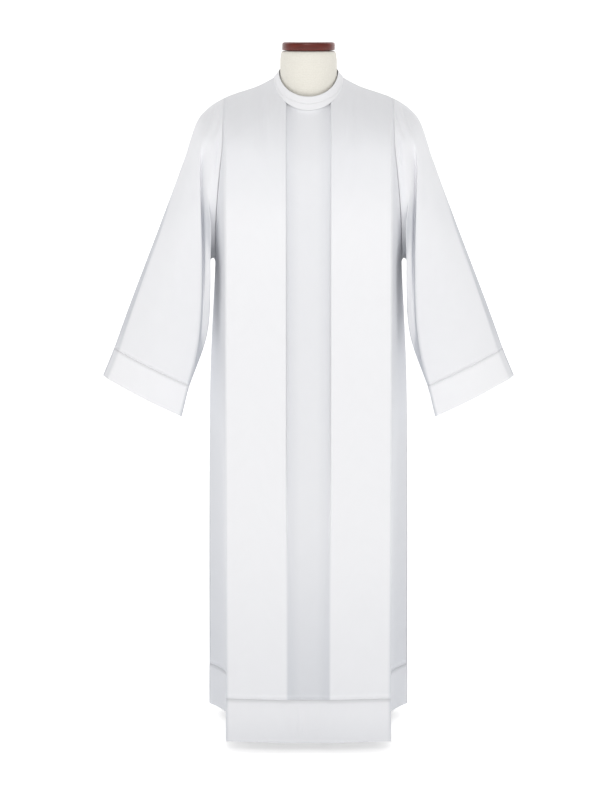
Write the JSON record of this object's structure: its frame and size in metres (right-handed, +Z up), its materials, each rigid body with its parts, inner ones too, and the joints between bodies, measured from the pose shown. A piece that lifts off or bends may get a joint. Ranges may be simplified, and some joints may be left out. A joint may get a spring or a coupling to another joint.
{
  "type": "alb robe on a dress form",
  "caption": "Long white robe with pressed pleats, wide straight sleeves and a low neckband, worn by a limbless dress form on a pole and round foot.",
  "frame": {"origin": "on the floor, under the middle of the whole object's box, in the plane of the foot's underside", "axes": "+Z up along the pole; the front of the robe faces -Y; the robe's +X sleeve is on the right as seen from the front"},
  "size_m": [0.902, 0.3708, 1.5216],
  "materials": {
    "alb_cloth": "matte",
    "form_cover": "matte",
    "cap_wood": "gloss",
    "pole_steel": "satin",
    "foot_iron": "satin"
  },
  "bodies": {
    "root": {"front": "alb_cloth", "back": "alb_cloth", "hem_front": "alb_cloth", "hem_back": "alb_cloth", "sleeve_right": "alb_cloth", "sleeve_left": "alb_cloth", "cuff_right": "alb_cloth", "cuff_left": "alb_cloth", "neckband": "alb_cloth", "neck_binding": "alb_cloth", "form_body": "form_cover", "neck_cap": "cap_wood", "pole": "pole_steel", "pole_socket": "foot_iron", "foot": "foot_iron"}
  },
  "joints": []
}
